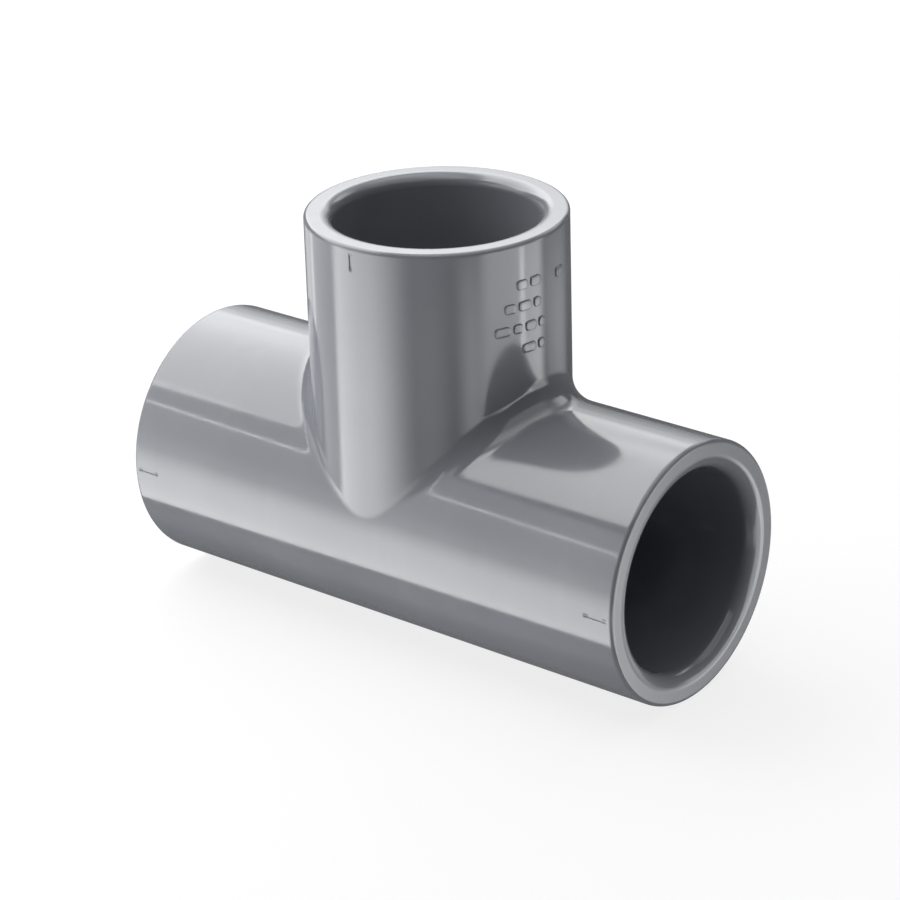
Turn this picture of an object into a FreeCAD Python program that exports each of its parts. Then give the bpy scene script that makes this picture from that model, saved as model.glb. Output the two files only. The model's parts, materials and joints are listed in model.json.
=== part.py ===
import FreeCAD, Part
import os
import Sketcher

# A socket tee for 3/4 inch rigid PVC pipe. It is one moulding: a centre body, where the two
# waterways cross, and three sockets that pipes are cemented into. The run lies along X and the
# branch rises along +Z. The origin is on the lowest line of the run, under the branch axis.
# Each region of the moulding is a solid of its own, and the regions meet face to face.

DRIVING_SIZES = {
    "run_outer_radius": 17.35,
    "branch_outer_radius": 17.0,
    "rim_distance": 40.2,       # from the crossing of the axes to each rim
    "socket_depth": 25.4,       # from a rim to the shoulder that stops the pipe
    "socket_radius": 13.36,
    "run_waterway_radius": 9.5,
    "branch_waterway_radius": 9.0,  # narrower, because its mould core seats on the run's core
    "meeting_distance": 21.8,   # from the crossing to where a socket meets the centre body
    "crotch_round": 3.8,        # between the outsides of the run and the branch
    "shoulder_round": 0.6,
    "run_mouth_round": 2.0,
    "branch_mouth_round": 1.6,
    "rim_round": 0.5,
    "run_mark_length": 3.4,     # recessed lines that help to line the pipes up
    "branch_mark_length": 2.3,
    "mark_width": 0.45,
    "mark_depth": 0.15,
    "mark_rim_gap": 0.9,
}

doc = FreeCAD.newDocument("PvcTeeFitting")
sheet = doc.addObject("Spreadsheet::Sheet", "Sizes")
for row, (alias, value) in enumerate(DRIVING_SIZES.items(), start=1):
    sheet.set(f"A{row}", alias)
    sheet.set(f"B{row}", str(value))
    sheet.setAlias(f"B{row}", alias)
doc.recompute()


def size(alias):
    """A driving size, in millimetres."""
    return float(sheet.get(alias))


def new_body(name):
    """A body whose own origin is the crossing of the axes."""
    body = doc.addObject("PartDesign::Body", name)
    body.Label = name
    body.setExpression(".Placement.Base.z", "Sizes.run_outer_radius")
    return body


def circle_sketch(body, name, role, start, *radius_aliases):
    """Circles about an axis of the body, on a plane that crosses it at the distance start."""
    sketch = body.newObject("Sketcher::SketchObject", name)
    plane = next(item for item in body.Origin.OriginFeatures if item.Role == role)
    sketch.AttachmentSupport = [(plane, "")]
    sketch.MapMode = "FlatFace"
    sketch.setExpression(".AttachmentOffset.Base.z", start)
    for index, alias in enumerate(radius_aliases):
        circle = Part.Circle(FreeCAD.Vector(), FreeCAD.Vector(0, 0, 1), size(alias))
        sketch.addGeometry(circle, False)
        sketch.addConstraint(Sketcher.Constraint("Coincident", index, 3, -1, 1))
        radius = sketch.addConstraint(Sketcher.Constraint("Radius", index, size(alias)))
        sketch.setExpression(f"Constraints[{radius}]", f"Sizes.{alias}")
    return sketch


def add_pad(body, name, sketch, length, backwards=False, symmetric=False):
    """Grow the body from a sketch, along its plane's normal or backwards or both ways."""
    pad = body.newObject("PartDesign::Pad", name)
    pad.Profile = sketch
    pad.Reversed = backwards
    pad.SideType = "Symmetric" if symmetric else "One side"
    pad.setExpression("Length", length)
    doc.recompute()
    return pad


def add_bore(body, name, role, start, radius_alias, length, backwards=False, symmetric=False):
    """Bore a round hole from the plane at start, and make sure that it took material away."""
    solid_before = body.Shape.Volume
    sketch = circle_sketch(body, f"{name}Sketch", role, start, radius_alias)
    bore = body.newObject("PartDesign::Pocket", name)
    bore.Profile = sketch
    bore.Reversed = not backwards
    bore.SideType = "Symmetric" if symmetric else "One side"
    bore.setExpression("Length", length)
    doc.recompute()
    if body.Shape.Volume >= solid_before:
        raise RuntimeError(f"{name} cut nothing from {body.Label}")


def add_round(body, name, radius_alias, picks):
    """Round those edges of the body that picks(edge) says yes to."""
    base = body.Tip
    chosen = [f"Edge{i}" for i, edge in enumerate(base.Shape.Edges, start=1) if picks(edge)]
    if not chosen:
        raise RuntimeError(f"{name} found no edge on {body.Label}")
    rounding = body.newObject("PartDesign::Fillet", name)
    rounding.Base = (base, chosen)
    rounding.setExpression("Radius", f"Sizes.{radius_alias}")
    doc.recompute()


def is_circle(edge, radius, distance):
    """Whether the edge is a circle of this radius, this far from the crossing of the axes."""
    if not isinstance(edge.Curve, Part.Circle):
        return False
    same_radius = abs(edge.Curve.Radius - radius) < 1e-6
    return same_radius and abs(edge.Curve.Center.Length - distance) < 1e-6


SHOULDER = "Sizes.rim_distance - Sizes.socket_depth"
MEETING = "Sizes.meeting_distance"


def make_centre_body():
    """The crossing of the run and the branch, out to just past the crotch."""
    body = new_body("centre_body")
    run = circle_sketch(body, "RunSketch", "YZ_Plane", "0", "run_outer_radius")
    add_pad(body, "Run", run, f"2 * {MEETING}", symmetric=True)
    branch = circle_sketch(body, "BranchSketch", "XY_Plane", "0", "branch_outer_radius")
    add_pad(body, "Branch", branch, MEETING)
    add_round(body, "Crotch", "crotch_round",
              lambda edge: not isinstance(edge.Curve, (Part.Circle, Part.Line)))

    add_bore(body, "RunWaterway", "YZ_Plane", "0", "run_waterway_radius",
             f"2 * {MEETING}", symmetric=True)
    add_bore(body, "BranchWaterway", "XY_Plane", "0", "branch_waterway_radius", MEETING)
    left_over = f"{MEETING} - ({SHOULDER})"
    add_bore(body, "RightSocketEnd", "YZ_Plane", SHOULDER, "socket_radius", left_over)
    add_bore(body, "LeftSocketEnd", "YZ_Plane", f"-({SHOULDER})", "socket_radius", left_over,
             backwards=True)
    add_bore(body, "BranchSocketEnd", "XY_Plane", SHOULDER, "socket_radius", left_over)

    shoulder = size("rim_distance") - size("socket_depth")
    waterways = size("run_waterway_radius"), size("branch_waterway_radius")
    add_round(body, "ShoulderEdges", "shoulder_round",
              lambda edge: any(is_circle(edge, radius, shoulder) for radius in waterways))
    return body


def cut_mark(body, name, along, branch_or_run, side):
    """A recessed line along the socket, on its +Y or -Y side, just behind the rim."""
    across = {"x": "z", "z": "x"}[along]
    lengths = {"x": "Length", "z": "Height"}
    solid_before = body.Shape.Volume
    mark_length = f"Sizes.{branch_or_run}_mark_length"
    mark = body.newObject("PartDesign::SubtractiveBox", name)
    mark.setExpression(lengths[along], mark_length)
    mark.setExpression(lengths[across], "Sizes.mark_width")
    mark.setExpression("Width", "2 * Sizes.mark_depth")
    far_end = "Sizes.rim_distance - Sizes.mark_rim_gap"
    nearer = f"{far_end} - {mark_length}"
    start = f"-({far_end})" if body.Label.endswith("left") else nearer
    mark.setExpression(f".Placement.Base.{along}", start)
    mark.setExpression(f".Placement.Base.{across}", "-Sizes.mark_width / 2")
    inner = f"Sizes.{branch_or_run}_outer_radius - Sizes.mark_depth"
    outer = f"Sizes.{branch_or_run}_outer_radius + Sizes.mark_depth"
    mark.setExpression(".Placement.Base.y", inner if side > 0 else f"-({outer})")
    doc.recompute()
    if body.Shape.Volume >= solid_before:
        raise RuntimeError(f"{name} cut nothing from {body.Label}")


def make_socket(name, along, branch_or_run, backwards=False):
    """A plain ring from the centre body out to a rim, with a rounded mouth for the pipe."""
    outer_alias = f"{branch_or_run}_outer_radius"
    body = new_body(name)
    role = {"x": "YZ_Plane", "z": "XY_Plane"}[along]
    start = f"-{MEETING}" if backwards else MEETING
    ring = circle_sketch(body, "RingSketch", role, start, outer_alias, "socket_radius")
    add_pad(body, "Ring", ring, f"Sizes.rim_distance - {MEETING}", backwards=backwards)
    rim = size("rim_distance")
    add_round(body, "Mouth", f"{branch_or_run}_mouth_round",
              lambda edge: is_circle(edge, size("socket_radius"), rim))
    add_round(body, "RimEdge", "rim_round",
              lambda edge: is_circle(edge, size(outer_alias), rim))
    cut_mark(body, "FrontMark", along, branch_or_run, -1)
    cut_mark(body, "BackMark", along, branch_or_run, 1)
    return body


pieces = [
    make_centre_body(),
    make_socket("run_socket_right", "x", "run"),
    make_socket("run_socket_left", "x", "run", backwards=True),
    make_socket("branch_socket", "z", "branch"),
]
doc.recompute()

for item in doc.Objects:
    if {"Invalid", "Error"} & set(item.State):
        raise RuntimeError(f"{item.Label} failed: {item.State}")
for piece in pieces:
    shape = piece.Shape
    if shape.isNull() or not shape.isValid() or len(shape.Solids) != 1:
        raise RuntimeError(f"{piece.Label} isn't one valid solid")

os.makedirs("parts", exist_ok=True)
for piece in pieces:
    piece.Shape.exportStep(f"parts/{piece.Label}.step")
    box = piece.Shape.optimalBoundingBox(False)
    print(f"{piece.Label}: volume {piece.Shape.Volume:.1f} mm3,"
          f" x {box.XMin:.2f} to {box.XMax:.2f}, y {box.YMin:.2f} to {box.YMax:.2f},"
          f" z {box.ZMin:.2f} to {box.ZMax:.2f}")
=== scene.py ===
import json
import math

import bmesh
import bpy
from mathutils import Matrix, Vector


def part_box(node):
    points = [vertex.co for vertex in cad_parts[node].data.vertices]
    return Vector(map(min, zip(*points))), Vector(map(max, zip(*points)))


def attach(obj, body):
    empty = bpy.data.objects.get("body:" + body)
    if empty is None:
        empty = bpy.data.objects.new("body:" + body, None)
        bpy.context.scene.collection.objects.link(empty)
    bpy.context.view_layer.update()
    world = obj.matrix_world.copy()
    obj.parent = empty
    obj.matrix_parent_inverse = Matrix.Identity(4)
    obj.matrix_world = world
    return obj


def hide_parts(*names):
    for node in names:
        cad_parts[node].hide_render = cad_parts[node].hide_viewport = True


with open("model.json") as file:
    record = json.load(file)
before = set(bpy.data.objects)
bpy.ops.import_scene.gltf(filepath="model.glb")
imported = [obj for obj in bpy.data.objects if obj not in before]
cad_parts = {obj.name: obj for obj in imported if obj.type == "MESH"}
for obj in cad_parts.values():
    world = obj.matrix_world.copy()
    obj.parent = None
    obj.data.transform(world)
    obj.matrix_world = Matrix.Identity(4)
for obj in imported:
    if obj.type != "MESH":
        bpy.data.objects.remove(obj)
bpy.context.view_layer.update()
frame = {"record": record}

# ---------------------------------------------------------------- sizes, in metres
MM = 0.001

centre_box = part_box("centre_body")
right_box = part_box("run_socket_right")
branch_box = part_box("branch_socket")
mounts = {mount["name"]: mount for mount in frame["record"]["mounts"]}

RUN_RADIUS = centre_box[1].y
BRANCH_RADIUS = branch_box[1].x
RIM = right_box[1].x                       # from the crossing of the axes to each rim
SOCKET_RADIUS = mounts["run_right"]["dims"]["r_mm"] * MM
SOCKET_DEPTH = 25.4 * MM
SHOULDER = RIM - SOCKET_DEPTH              # where a pipe stops in its socket
RUN_WATERWAY_RADIUS = 9.5 * MM
BRANCH_WATERWAY_RADIUS = 9.0 * MM
CROTCH_ROUND = 3.8 * MM
RUN_MOUTH_ROUND = 2.0 * MM
BRANCH_MOUTH_ROUND = 1.6 * MM
RIM_ROUND = 0.5 * MM
SHOULDER_ROUND = 0.6 * MM
SOCKET_END_ROUND = 0.5 * MM
CROSSING = Vector((0, 0, RUN_RADIUS))      # where the axes of the run and the branch cross

# Recessed lines just behind each rim, which help to line the pipes up
RUN_MARK_LENGTH = 3.4 * MM
BRANCH_MARK_LENGTH = 2.3 * MM
MARK_HALF_WIDTH = 0.2 * MM
MARK_DEPTH = 0.15 * MM
MARK_END_DEPTH = 0.35 * MARK_DEPTH         # at both ends, where the bottom rises
MARK_RIM_GAP = 0.9 * MM
MARK_ANGLES = (90, 270)                    # on the sides of each socket that face -Y and +Y
# Lines of the mesh across a mark, in half-widths: its bottom, its edges and the skin beside it
MARK_LINES = [-1.7, -1.25, -0.8, 0, 0.8, 1.25, 1.7]

# How finely the surfaces are divided
STEP_DEGREES = 0.75
ROUND_STEPS = 5
CROTCH_STEPS = 12
PATCH_STEPS = 14
STRAIGHT_STEPS = 12                        # from the crotch up to where the branch is plain
OUTSIDE_STEPS = 8
SOCKET_STEPS = 12
WATERWAY_STEPS = 8
MARK_STEPS = 8
MARK_EASE = 0.14 * MM                      # between the rows just before and after a mark
FLAT_EASE = 0.06 * MM                      # from a round to the next row, so that flats shade flat
PATCH_HALF_LENGTH = 24 * MM                # the part of the run that the branch grows out of
PATCH_HALF_ANGLE = 87.0
SAME_ANGLE = 1e-6                          # degrees within which two angles are the same
WELD_DISTANCE = 0.5e-6


# ---------------------------------------------------------------- the moulding
class Skin:
    """Collects strips of faces between rows of points. Rows that meet are welded at the end."""

    def __init__(self):
        self.mesh = bmesh.new()

    def row(self, points):
        return [self.mesh.verts.new(point) for point in points]

    def face(self, *corners):
        self.mesh.faces.new(corners)

    def loft(self, rows, closed):
        """Faces between each row of points and the next, round the loop if it is closed. It
        gives back the rows as they are in the mesh."""
        made = [self.row(row) for row in rows]
        for low, high in zip(made, made[1:]):
            last = len(low) if closed else len(low) - 1
            for i in range(last):
                j = (i + 1) % len(low)
                self.face(low[i], low[j], high[j], high[i])
        return made

    def zip_rings(self, ring, angles, other, other_angles):
        """Triangles between two rings about one axis whose points stand at different angles."""
        inner, outer = self.row(ring), self.row(other)
        i = j = 0
        while i < len(inner) or j < len(outer):
            next_inner = angles[i + 1] if i + 1 < len(angles) else angles[0] + 360
            next_outer = other_angles[j + 1] if j + 1 < len(other_angles) else other_angles[0] + 360
            a, b = inner[i % len(inner)], outer[j % len(outer)]
            if j >= len(outer) or (i < len(inner) and next_inner <= next_outer):
                i += 1
                self.face(a, inner[i % len(inner)], b)
            else:
                j += 1
                self.face(a, outer[j % len(outer)], b)

    def finished(self, name, sharp_degrees):
        """The welded skin as an object, with its faces turned outwards."""
        bmesh.ops.remove_doubles(self.mesh, verts=self.mesh.verts, dist=WELD_DISTANCE)
        bmesh.ops.recalc_face_normals(self.mesh, faces=self.mesh.faces)
        open_edges = [edge for edge in self.mesh.edges if len(edge.link_faces) != 2]
        if open_edges:
            raise RuntimeError(f"{name} isn't closed at {len(open_edges)} edges")
        data = bpy.data.meshes.new(name)
        self.mesh.to_mesh(data)
        self.mesh.free()
        data.shade_smooth()
        data.set_sharp_from_angle(angle=math.radians(sharp_degrees))
        made = bpy.data.objects.new(name, data)
        bpy.context.collection.objects.link(made)
        return made


def spread(start, end, count):
    """Evenly spaced values from start to end, both included."""
    return [start + (end - start) * i / count for i in range(count + 1)]


def mark_lines(middle, radius):
    """Angles of the mesh's lines along a recessed mark and beside it."""
    return [middle + math.degrees(line * MARK_HALF_WIDTH / radius) for line in MARK_LINES]


def with_lines(angles, lines):
    """Angles with some lines put in, where they take the place of the ones too near them."""
    near = 0.4 * STEP_DEGREES
    kept = [a for a in angles if all(abs(a - line) > near for line in lines)]
    return sorted(kept + lines)


def quarter_arc(start, end, corner_round, centre, steps=ROUND_STEPS):
    """Points on the arc about centre from start to end degrees, in a profile's plane."""
    points = []
    for angle in spread(start, end, steps):
        turn = math.radians(angle)
        points.append((centre[0] + corner_round * math.cos(turn),
                       centre[1] + corner_round * math.sin(turn)))
    return points


# Where the branch's waterway reaches furthest round the run's, as an angle from +Z
WATERWAY_EDGE_ANGLE = math.degrees(math.asin(BRANCH_WATERWAY_RADIUS / RUN_WATERWAY_RADIUS))


def branch_angles():
    """Angles about the branch, from +X, with a mark's lines at -Y and +Y. All four quarters are
    alike."""
    lines = mark_lines(90, BRANCH_RADIUS) + [WATERWAY_EDGE_ANGLE * 45 / PATCH_HALF_ANGLE]
    quarter = with_lines(spread(0, 90, int(90 / STEP_DEGREES)), lines)
    quarter = [angle for angle in quarter if angle <= 90]
    half = quarter + [180 - angle for angle in reversed(quarter[:-1])]
    return half + [360 - angle for angle in reversed(half[1:-1])]


BRANCH_ANGLES = branch_angles()


def run_angles():
    """Angles about the run, from +Z towards +Y: those that the branch's lines lead to, and the
    underside's, with a mark's lines at +Y and -Y and a point exactly on each side."""
    top = [a * PATCH_HALF_ANGLE / 45 for a in BRANCH_ANGLES if a <= 45]
    count = int((360 - 2 * PATCH_HALF_ANGLE) / (STEP_DEGREES * 2))
    under = spread(PATCH_HALF_ANGLE, 360 - PATCH_HALF_ANGLE, count)
    under = with_lines(under, mark_lines(90, RUN_RADIUS) + mark_lines(270, RUN_RADIUS))
    under = [a for a in under if PATCH_HALF_ANGLE < a < 360 - PATCH_HALF_ANGLE]
    return top + under + [360 - a for a in reversed(top[1:])]


RUN_ANGLES = run_angles()


def on_run(along, angle, radius):
    """A point at a radius about the run's axis; the angle runs from +Z towards +Y."""
    turn = math.radians(angle)
    return CROSSING + Vector((along, radius * math.sin(turn), radius * math.cos(turn)))


def on_branch(along, angle, radius):
    """A point at a radius about the branch's axis; the angle runs from +X towards +Y."""
    turn = math.radians(angle)
    return CROSSING + Vector((radius * math.cos(turn), radius * math.sin(turn), along))


def rim_profile(outer_radius, mouth_round):
    """A socket's section from its outside, over the rim and down to its shoulder's edge, as
    points (place along the axis, radius)."""
    profile = quarter_arc(90, 0, RIM_ROUND, (RIM - RIM_ROUND, outer_radius - RIM_ROUND))
    face_start = outer_radius - RIM_ROUND - FLAT_EASE
    face_end = SOCKET_RADIUS + mouth_round + FLAT_EASE
    profile += [(RIM, radius) for radius in spread(face_start, face_end, 2)]
    mouth_centre = (RIM - mouth_round, SOCKET_RADIUS + mouth_round)
    profile += quarter_arc(0, -90, mouth_round, mouth_centre, ROUND_STEPS * 2)
    wall_start = RIM - mouth_round - FLAT_EASE
    wall_end = SHOULDER + SOCKET_END_ROUND + FLAT_EASE
    profile += [(along, SOCKET_RADIUS) for along in spread(wall_start, wall_end, SOCKET_STEPS)]
    end_centre = (SHOULDER + SOCKET_END_ROUND, SOCKET_RADIUS - SOCKET_END_ROUND)
    profile += quarter_arc(90, 180, SOCKET_END_ROUND, end_centre)
    return profile


def shoulder_edge(waterway_radius):
    """The rounded edge from a shoulder into the waterway, as points (along, radius)."""
    centre = (SHOULDER - SHOULDER_ROUND, waterway_radius + SHOULDER_ROUND)
    return quarter_arc(0, -90, SHOULDER_ROUND, centre)


def outside_rows(start, radius, mark_length, angles, point):
    """Rows of points from start to where the rim's round begins, sunk where a mark runs."""
    mark_end = RIM - MARK_RIM_GAP
    mark_start = mark_end - mark_length
    places = spread(start, mark_start - 2 * MARK_EASE, OUTSIDE_STEPS)
    places.append(mark_start - MARK_EASE)
    places += spread(mark_start, mark_end, MARK_STEPS)
    places += [mark_end + MARK_EASE, mark_end + 2 * MARK_EASE, RIM - RIM_ROUND]
    widest = math.degrees(MARK_HALF_WIDTH / radius)

    def depth(along, angle):
        inside = mark_start <= along <= mark_end
        in_line = any(abs(angle - middle) < widest for middle in MARK_ANGLES)
        if not (inside and in_line):
            return 0
        return MARK_END_DEPTH if along in (mark_start, mark_end) else MARK_DEPTH

    return [[point(x, a, radius - depth(x, a)) for a in angles] for x in places]


def on_run_left(along, angle, radius):
    """A point on the other half of the run, at the same distance from the crossing."""
    return on_run(-along, angle, radius)


def opening_reach(angle):
    """How far along the run the branch's opening reaches, at an angle about the run."""
    turn = math.radians(angle)
    aside = RUN_WATERWAY_RADIUS * math.sin(turn)
    if math.cos(turn) < 0 or abs(aside) >= BRANCH_WATERWAY_RADIUS:
        return 0.0
    return math.sqrt(BRANCH_WATERWAY_RADIUS ** 2 - aside ** 2)


def add_run_socket(skin, point):
    """A run socket from the patch out over the rim and in to the crossing of the waterways."""
    outside = outside_rows(PATCH_HALF_LENGTH, RUN_RADIUS, RUN_MARK_LENGTH, RUN_ANGLES, point)
    section = rim_profile(RUN_RADIUS, RUN_MOUTH_ROUND) + shoulder_edge(RUN_WATERWAY_RADIUS)
    inside = [[point(x, a, r) for a in RUN_ANGLES] for x, r in section]
    skin.loft(outside + inside[1:], closed=True)

    start = SHOULDER - SHOULDER_ROUND
    waterway = []
    for share in spread(0, 1, WATERWAY_STEPS):
        waterway.append([
            point(start + (opening_reach(a) - start) * share, a, RUN_WATERWAY_RADIUS)
            for a in RUN_ANGLES
        ])
    skin.loft(waterway, closed=True)


def crotch_point(angle, share):
    """A point on the rounded crotch, from the branch (share 0) to the run (share 1).

    It is the surface that a ball leaves as it rolls along between the two cylinders.
    """
    reach = BRANCH_RADIUS + CROTCH_ROUND
    turn = math.radians(angle)
    x, y = reach * math.cos(turn), reach * math.sin(turn)
    ball = Vector((x, y, math.sqrt((RUN_RADIUS + CROTCH_ROUND) ** 2 - y ** 2)))
    to_branch = Vector((-x, -y, 0)).normalized()
    to_run = Vector((0, -ball.y, -ball.z)).normalized()
    return CROSSING + ball + to_branch.slerp(to_run, share) * CROTCH_ROUND


def patch_edge(angle):
    """Where the patch's edge is met by the line that leaves the branch at this angle, as
    (place along the run, angle about the run)."""
    side = round(angle / 90) % 4
    off = (angle - round(angle / 90) * 90) / 45
    return {
        0: (PATCH_HALF_LENGTH, PATCH_HALF_ANGLE * off),
        1: (-PATCH_HALF_LENGTH * off, PATCH_HALF_ANGLE),
        2: (-PATCH_HALF_LENGTH, -PATCH_HALF_ANGLE * off),
        3: (PATCH_HALF_LENGTH * off, -PATCH_HALF_ANGLE),
    }[side]


def add_branch(skin):
    """The branch from its rim down its outside, over the crotch and out onto the run, and from
    its rim down its inside to the crossing of the waterways."""
    straight_start = RUN_RADIUS + CROTCH_ROUND + 1 * MM
    outside = outside_rows(straight_start, BRANCH_RADIUS, BRANCH_MARK_LENGTH, BRANCH_ANGLES,
                           on_branch)
    profile = rim_profile(BRANCH_RADIUS, BRANCH_MOUTH_ROUND)
    inside = [[on_branch(z, a, r) for a in BRANCH_ANGLES] for z, r in profile[1:]]
    skin.loft(outside + inside, closed=True)

    feet = [crotch_point(a, 0).z - CROSSING.z for a in BRANCH_ANGLES]
    lower = []
    for share in spread(0, 1, STRAIGHT_STEPS):
        lower.append([
            on_branch(straight_start + (foot - straight_start) * share, a, BRANCH_RADIUS)
            for a, foot in zip(BRANCH_ANGLES, feet)
        ])
    skin.loft(lower, closed=True)

    shares = spread(0, 1, CROTCH_STEPS)
    skin.loft([[crotch_point(a, share) for a in BRANCH_ANGLES] for share in shares], closed=True)

    patch = []
    starts = [crotch_point(a, 1) - CROSSING for a in BRANCH_ANGLES]
    for share in spread(0, 1, PATCH_STEPS):
        row = []
        for start, angle in zip(starts, BRANCH_ANGLES):
            end_along, end_angle = patch_edge(angle)
            start_angle = math.degrees(math.atan2(start.y, start.z))
            row.append(on_run(start.x + (end_along - start.x) * share,
                              start_angle + (end_angle - start_angle) * share, RUN_RADIUS))
        patch.append(row)
    skin.loft(patch, closed=True)

    # Inside, each line of the waterway starts where a line of the run's waterway ends
    quarter = []
    for angle in RUN_ANGLES:
        if angle <= WATERWAY_EDGE_ANGLE + SAME_ANGLE:
            aside = RUN_WATERWAY_RADIUS * math.sin(math.radians(angle))
            quarter.append(math.degrees(math.atan2(aside, opening_reach(angle))))
    half = quarter + [180 - a for a in reversed(quarter[:-1])]
    water_angles = half + [360 - a for a in reversed(half[1:-1])]
    edge = shoulder_edge(BRANCH_WATERWAY_RADIUS)
    skin.loft([[on_branch(z, a, r) for a in water_angles] for z, r in edge], closed=True)
    start = SHOULDER - SHOULDER_ROUND
    waterway = []
    for share in spread(0, 1, WATERWAY_STEPS):
        row = []
        for a in water_angles:
            aside = BRANCH_WATERWAY_RADIUS * math.sin(math.radians(a))
            end = math.sqrt(RUN_WATERWAY_RADIUS ** 2 - aside ** 2)
            row.append(on_branch(start + (end - start) * share, a, BRANCH_WATERWAY_RADIUS))
        waterway.append(row)
    skin.loft(waterway, closed=True)
    shoulder_inner = [on_branch(edge[0][0], a, edge[0][1]) for a in water_angles]
    shoulder_outer = [on_branch(profile[-1][0], a, profile[-1][1]) for a in BRANCH_ANGLES]
    skin.zip_rings(shoulder_inner, water_angles, shoulder_outer, BRANCH_ANGLES)


def add_underside(skin):
    """The run below the patch, from one patch edge round to the other."""
    first = PATCH_HALF_ANGLE - SAME_ANGLE
    under = [angle for angle in RUN_ANGLES if first <= angle <= 360 - first]
    places = [patch_edge(a)[0] for a in BRANCH_ANGLES if 45 <= a <= 135]
    skin.loft([[on_run(x, a, RUN_RADIUS) for a in under] for x in places], closed=False)


skin = Skin()
add_run_socket(skin, on_run)
add_run_socket(skin, on_run_left)
add_branch(skin)
add_underside(skin)
tee = skin.finished("tee_moulding", sharp_degrees=50)
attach(tee, "root")
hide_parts("centre_body", "run_socket_right", "run_socket_left", "branch_socket")


# ---------------------------------------------------------------- raised marks
# Short rows of plain bars on the +X side of the branch, where such a fitting is marked. They
# say nothing: a bar has no letter's or number's shape.
BAR_HEIGHT = 1.3 * MM
BAR_GAP = 0.5 * MM
BAR_PROUD = 0.2 * MM
BAR_SUNK = 0.3 * MM                        # how deep its foot reaches into the branch
BAR_CORNER = 0.32                          # the round of its corners, as a share of its height
BAR_TAPER = 0.16                           # how much it narrows on the way up
BAR_TOP = 0.45                             # the size of its flat top
BAR_STEPS = 4
# Each row: how far it is below the rim in mm, the angle of its middle from +X in degrees, and
# its bars' lengths in mm
BAR_ROWS = [
    (5.55, -8.7, [1.7, 1.8]),
    (5.95, 12.7, [1.9]),
    (8.42, -12.0, [1.6, 2.0, 1.2]),
    (11.29, -13.2, [2.2, 1.4, 1.8, 1.1]),
    (14.16, -6.5, [2.2, 1.2]),
]


def bar_outline(length, height):
    """A rounded bar's outline about its middle, in metres across and up."""
    corner = height * BAR_CORNER
    outline = []
    for quarter, (side, top) in enumerate(((1, 1), (-1, 1), (-1, -1), (1, -1))):
        middle = (side * (length / 2 - corner), top * (height / 2 - corner))
        outline += quarter_arc(quarter * 90, quarter * 90 + 90, corner, middle, BAR_STEPS)
    return outline


def add_bar(skin, middle_angle, height_up, length):
    """One closed bar that stands proud of the branch with its edge rounded over."""
    rings = [(1.0, -BAR_SUNK)]
    for turn in spread(0, math.pi / 2, BAR_STEPS):
        rings.append((1.0 - BAR_TAPER * (1 - math.cos(turn)), BAR_PROUD * math.sin(turn)))
    rings.append((BAR_TOP, BAR_PROUD))
    rows = []
    for scale, lift in rings:
        radius = BRANCH_RADIUS + lift
        shrink = (1 - scale) * BAR_HEIGHT
        outline = bar_outline(length - shrink, BAR_HEIGHT - shrink)
        rows.append([
            on_branch(height_up + up, middle_angle + math.degrees(across / BRANCH_RADIUS), radius)
            for across, up in outline
        ])
    made = skin.loft(rows, closed=True)
    skin.face(*reversed(made[0]))
    skin.face(*made[-1])


marks = Skin()
for below_rim, row_angle, lengths in BAR_ROWS:
    place = -(sum(lengths) * MM + BAR_GAP * (len(lengths) - 1)) / 2
    for length in lengths:
        middle = place + length * MM / 2
        angle = row_angle + math.degrees(middle / BRANCH_RADIUS)
        add_bar(marks, angle, RIM - below_rim * MM, length * MM)
        place += length * MM + BAR_GAP
bars = marks.finished("raised_marks", sharp_degrees=60)
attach(bars, "root")


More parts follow.
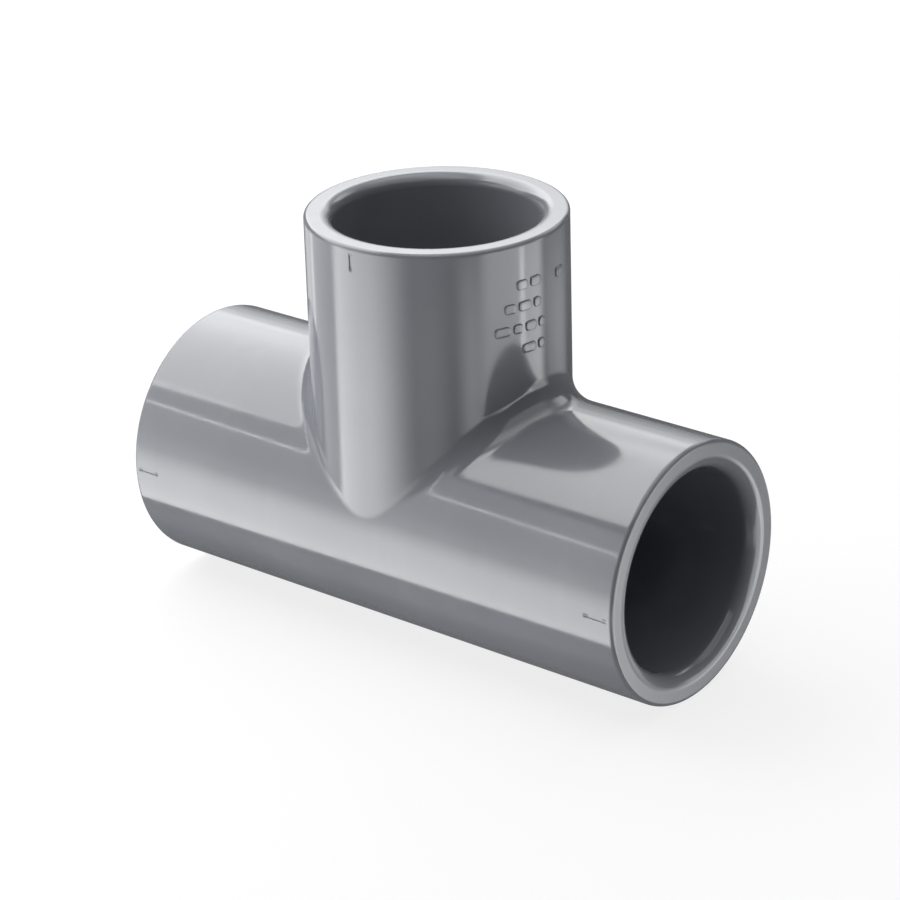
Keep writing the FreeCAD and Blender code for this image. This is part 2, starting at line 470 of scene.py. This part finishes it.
# ---------------------------------------------------------------- material
def grey_pvc():
    """New moulded rigid PVC: grey with faint clouds and flow streaks, a slightly uneven gloss and a
    fine ripple."""
    material = bpy.data.materials.new("grey_pvc")
    material.use_nodes = True
    nodes, links = material.node_tree.nodes, material.node_tree.links
    shader = nodes["Principled BSDF"]
    shader.inputs["IOR"].default_value = 1.54
    place = nodes.new("ShaderNodeTexCoord").outputs["Object"]

    def noise(scale, detail, stretch=(1, 1, 1)):
        mapping = nodes.new("ShaderNodeMapping")
        mapping.inputs["Scale"].default_value = stretch
        texture = nodes.new("ShaderNodeTexNoise")
        texture.inputs["Scale"].default_value = scale
        texture.inputs["Detail"].default_value = detail
        links.new(place, mapping.inputs["Vector"])
        links.new(mapping.outputs["Vector"], texture.inputs["Vector"])
        return texture.outputs["Fac"]

    def ranged(value, low, high, to_low, to_high):
        spanned = nodes.new("ShaderNodeMapRange")
        spanned.inputs["From Min"].default_value = low
        spanned.inputs["From Max"].default_value = high
        spanned.inputs["To Min"].default_value = to_low
        spanned.inputs["To Max"].default_value = to_high
        links.new(value, spanned.inputs["Value"])
        return spanned.outputs["Result"]

    def mixed(factor, first, second):
        mix = nodes.new("ShaderNodeMix")
        mix.data_type = "RGBA"
        for socket, colour in ((mix.inputs["A"], first), (mix.inputs["B"], second)):
            if isinstance(colour, tuple):
                socket.default_value = (*colour, 1)
            else:
                links.new(colour, socket)
        links.new(factor, mix.inputs["Factor"])
        return mix.outputs["Result"]

    def bumped(height, strength, distance, normal=None):
        bump = nodes.new("ShaderNodeBump")
        bump.inputs["Strength"].default_value = strength
        bump.inputs["Distance"].default_value = distance
        links.new(height, bump.inputs["Height"])
        if normal:
            links.new(normal, bump.inputs["Normal"])
        return bump.outputs["Normal"]

    clouds = ranged(noise(55, 3), 0.35, 0.65, 0, 1)
    colour = mixed(clouds, (0.142, 0.149, 0.166), (0.156, 0.163, 0.181))
    streaks = ranged(noise(160, 2, (1, 1, 0.12)), 0.58, 0.78, 0, 0.35)
    colour = mixed(streaks, colour, (0.175, 0.182, 0.2))
    links.new(colour, shader.inputs["Base Color"])
    links.new(ranged(noise(420, 4), 0.3, 0.7, 0.085, 0.15), shader.inputs["Roughness"])
    ripple = bumped(noise(240, 1), 0.05, 0.05 * MM)
    links.new(bumped(noise(2600, 2), 0.04, 0.02 * MM, ripple), shader.inputs["Normal"])
    return material


pvc = grey_pvc()
for piece in (tee, bars):
    piece.data.materials.append(pvc)


# ---------------------------------------------------------------- camera, light and floor
def direction(azimuth, elevation):
    """The unit vector towards a place round the object: azimuth 0 is -Y and 90 is +X."""
    a, e = math.radians(azimuth), math.radians(elevation)
    return Vector((math.sin(a) * math.cos(e), -math.cos(a) * math.cos(e), math.sin(e)))


def facing(back, roll=0.0):
    """The turn of a camera or light that looks along -back, with roll degrees about its view."""
    straight_down = back.z > 0.999
    right = Vector((1, 0, 0)) if straight_down else Vector((0, 0, 1)).cross(back).normalized()
    upright = Matrix((right, back.cross(right), back)).transposed()
    return (upright @ Matrix.Rotation(math.radians(roll), 3, "Z")).to_4x4()


# The camera's direction and roll in degrees, and its lens and sensor in mm
CAMERA_AZIMUTH = 39.821
CAMERA_ELEVATION = 23.680
CAMERA_ROLL = -1.721
CAMERA_LENS = 134.0
CAMERA_SENSOR = 36
# In metres: how far away it is, how far right of the view's middle and above it the crossing of
# the axes is seen, and where its sight begins
CAMERA_DISTANCE = 12.749 * 2 * RUN_RADIUS
CAMERA_ASIDE = -0.60 * MM
CAMERA_ABOVE = -6.08 * MM
CAMERA_NEAREST = 0.01

camera_data = bpy.data.cameras.new("camera")
camera = bpy.data.objects.new("camera", camera_data)
bpy.context.collection.objects.link(camera)
camera_data.sensor_width = CAMERA_SENSOR
camera_data.lens = CAMERA_LENS
camera_data.clip_start = CAMERA_NEAREST
camera_back = direction(CAMERA_AZIMUTH, CAMERA_ELEVATION)
camera_turn = facing(camera_back, CAMERA_ROLL)
aside = camera_turn.to_3x3() @ Vector((CAMERA_ASIDE, CAMERA_ABOVE, 0))
camera_place = CROSSING + camera_back * CAMERA_DISTANCE - aside
camera.matrix_world = Matrix.Translation(camera_place) @ camera_turn
bpy.context.scene.camera = camera


def softbox(name, place, size, radiance, fades=(0, 0, 0, 0), roll=0.0, back=None):
    """A flat light that faces the object, or looks along -back. fades say over how much of it the
    light dims towards its own left, right, lower and upper edges."""
    data = bpy.data.lights.new(name, "AREA")
    data.shape = "RECTANGLE"
    data.size, data.size_y = size
    data.energy = radiance * math.pi * size[0] * size[1]
    data.use_nodes = True
    nodes, links = data.node_tree.nodes, data.node_tree.links
    across = nodes.new("ShaderNodeSeparateXYZ")
    links.new(nodes.new("ShaderNodeNewGeometry").outputs["Parametric"], across.inputs["Vector"])
    strength = None
    ends = (("X", 0, fades[0]), ("X", 1, 1 - fades[1]), ("Y", 0, fades[2]), ("Y", 1, 1 - fades[3]))
    for axis, dark, bright in ends:
        if dark == bright:
            continue
        edge = nodes.new("ShaderNodeMapRange")
        edge.interpolation_type = "SMOOTHSTEP"
        edge.inputs["From Min"].default_value = dark
        edge.inputs["From Max"].default_value = bright
        links.new(across.outputs[axis], edge.inputs["Value"])
        if strength is None:
            strength = edge.outputs["Result"]
            continue
        product = nodes.new("ShaderNodeMath")
        product.operation = "MULTIPLY"
        links.new(strength, product.inputs[0])
        links.new(edge.outputs["Result"], product.inputs[1])
        strength = product.outputs["Value"]
    if strength:
        links.new(strength, nodes["Emission"].inputs["Strength"])
    light = bpy.data.objects.new(name, data)
    bpy.context.collection.objects.link(light)
    turn = facing(back or (place - CROSSING).normalized(), roll)
    light.matrix_world = Matrix.Translation(place) @ turn
    light.visible_camera = False


# The lights over the object, as one large soft ceiling whose brightness changes from place to place:
# the two ends of each panel across the front view, its two ends away from it, its brightness, and
# how it fades. A light hides another at the same height where they overlap, so each is a little higher.
CEILING_TURN = 8.1
CEILING_HEIGHT = 0.33
CEILING_STEP = 0.002
CEILING_PANELS = [
    ("ceiling_front", (-0.65, -0.17), (-0.225, 0.45), 4.7, (0, 0.15, 0, 0.35)),
    ("ceiling_front_right", (-0.242, -0.10), (-0.225, 0.45), 5.3, (0.5, 0.35, 0, 0.35)),
    ("ceiling_above", (-0.15, -0.01), (-0.225, 0.45), 1.0, (0.35, 0.5, 0, 0.35)),
    ("ceiling_right", (-0.08, 0.14), (-0.225, 0.30), 2.2, (0.32, 0.5, 0, 0.35)),
    ("ceiling_far_right", (0.03, 0.40), (-0.225, 0.30), 1.0, (0.3, 0.3, 0, 0.35)),
    ("ceiling_middle", (-0.65, -0.17), (0.214, 0.80), 3.8, (0, 0.15, 0.40, 0.45)),
    ("ceiling_middle_right", (-0.242, -0.10), (0.214, 0.80), 1.4, (0.5, 0.35, 0.40, 0.45)),
    ("ceiling_behind", (-0.15, 0.05), (0.214, 0.80), 0.7, (0.25, 0.5, 0.40, 0.45)),
    ("ceiling_behind_right", (-0.05, 0.28), (0.20, 0.80), 2.5, (0.3, 0.3, 0.35, 0.4)),
    ("ceiling_back", (-0.95, -0.05), (0.536, 1.4), 1.8, (0, 0.12, 0.306, 0.5)),
    ("ceiling_far_back", (-1.8, 0.1), (1.0, 2.8), 0.9, (0.2, 0.2, 0.25, 0.5)),
]
for number, (name, across, away, radiance, fades) in enumerate(CEILING_PANELS):
    middle = Vector((sum(across) / 2, sum(away) / 2, CEILING_HEIGHT + CEILING_STEP * number))
    place = Matrix.Rotation(math.radians(CEILING_TURN), 3, "Z") @ middle
    size = (across[1] - across[0], away[1] - away[0])
    softbox(name, place, size, radiance, fades, CEILING_TURN, Vector((0, 0, 1)))

# The lights that stand round the object, most of them below it: where each one's middle is, as
# (azimuth, elevation, distance), its size, its brightness, and how it fades
STANDING_LIGHTS = [
    ("front_left_low", (-23, -23.5, 0.5), (0.82, 0.42), 5.3, (0.13, 0.55, 0, 0.45)),
    ("front_left_soft", (-30, -6, 0.55), (0.70, 0.24), 1.28, (0.2, 0.5, 0.5, 0.5)),
    ("front_left_wall", (-42, 8, 0.55), (0.60, 0.30), 1.5, (0.1, 0.3, 0.3, 0)),
    ("front_left_top", (-42, 30, 0.57), (0.70, 0.14), 1.2, (0.1, 0.1, 0, 0)),
    ("front_left_line", (-42, 23.5, 0.55), (0.80, 0.010), 7.5, (0, 0, 0, 0)),
    ("back_left_low", (-112, -22, 0.5), (0.28, 0.20), 1.17, (0.6, 0, 0.2, 0.2)),
    ("left_fill", (-80, -20, 0.55), (0.40, 0.22), 1.04, (0, 0, 0.2, 0.2)),
    ("right_strip", (128, -16, 0.5), (0.26, 0.36), 2.4, (0, 0.35, 0, 0)),
    ("right_strip_low", (128, -23, 0.5), (0.26, 0.18), 1.7, (0, 0.35, 0.3, 0.3)),
    ("right_back", (160, -23, 0.5), (0.48, 0.18), 1.0, (0.35, 0.5, 0.3, 0.3)),
    ("right_front_low", (68, -23, 0.55), (0.36, 0.18), 2.3, (0.45, 0.5, 0.3, 0.3)),
    ("right_fill", (94, -16, 0.55), (0.46, 0.35), 3.1, (0.35, 0, 0, 0)),
    ("far_low", (-144, 5, 0.6), (0.40, 0.14), 0.5, (0.4, 0.4, 0.4, 0.4)),
    ("camera_side", (32, -22, 0.55), (0.50, 0.20), 0.86, (0.5, 0.5, 0.5, 0.5)),
    ("under_front", (-50, -52, 0.5), (0.60, 0.25), 0.3, (0.4, 0.4, 0.4, 0.4)),
]
for name, (azimuth, elevation, distance), size, radiance, fades in STANDING_LIGHTS:
    place = CROSSING + direction(azimuth, elevation) * distance
    softbox(name, place, size, radiance, fades)

world = bpy.data.worlds.new("studio")
bpy.context.scene.world = world
world.use_nodes = True
world_nodes, world_links = world.node_tree.nodes, world.node_tree.links
dim_room = world_nodes["Background"]
dim_room.inputs["Color"].default_value = (1, 1, 1, 1)
height = world_nodes.new("ShaderNodeSeparateXYZ")
world_links.new(world_nodes.new("ShaderNodeTexCoord").outputs["Generated"], height.inputs["Vector"])
darker_above = world_nodes.new("ShaderNodeMapRange")
for name, number in (("From Min", -0.15), ("From Max", 0.15), ("To Min", 0.106), ("To Max", 0.0)):
    darker_above.inputs[name].default_value = number
world_links.new(height.outputs["Z"], darker_above.inputs["Value"])
world_links.new(darker_above.outputs["Result"], dim_room.inputs["Strength"])
backdrop = world_nodes.new("ShaderNodeBackground")
backdrop.inputs["Strength"].default_value = 1.0
seen = world_nodes.new("ShaderNodeMixShader")
rays = world_nodes.new("ShaderNodeLightPath")
world_links.new(rays.outputs["Is Camera Ray"], seen.inputs["Fac"])
world_links.new(dim_room.outputs["Background"], seen.inputs[1])
world_links.new(backdrop.outputs["Background"], seen.inputs[2])
world_links.new(seen.outputs["Shader"], world_nodes["World Output"].inputs["Surface"])

FLOOR_HALF = 6.0
floor_mesh = bpy.data.meshes.new("floor")
floor_corners = [
    (x * FLOOR_HALF, y * FLOOR_HALF, 0) for x, y in ((-1, -1), (1, -1), (1, 1), (-1, 1))
]
floor_mesh.from_pydata(floor_corners, [], [(0, 1, 2, 3)])
floor = bpy.data.objects.new("floor", floor_mesh)
bpy.context.collection.objects.link(floor)
# The light from below the object comes up through the floor, as on a lit table
floor.visible_shadow = False
floor.visible_glossy = False
floor.visible_diffuse = False

floor_material = bpy.data.materials.new("pale_table")
floor_material.use_nodes = True
table_shader = floor_material.node_tree.nodes["Principled BSDF"]
table_shader.inputs["Base Color"].default_value = (0.14, 0.14, 0.14, 1)
table_shader.inputs["Roughness"].default_value = 0.9
table_shader.inputs["Specular IOR Level"].default_value = 0.0
table_shader.inputs["Emission Color"].default_value = (1, 1, 1, 1)
table_shader.inputs["Emission Strength"].default_value = 0.8
floor_mesh.materials.append(floor_material)

bpy.context.scene.view_settings.view_transform = "Standard"
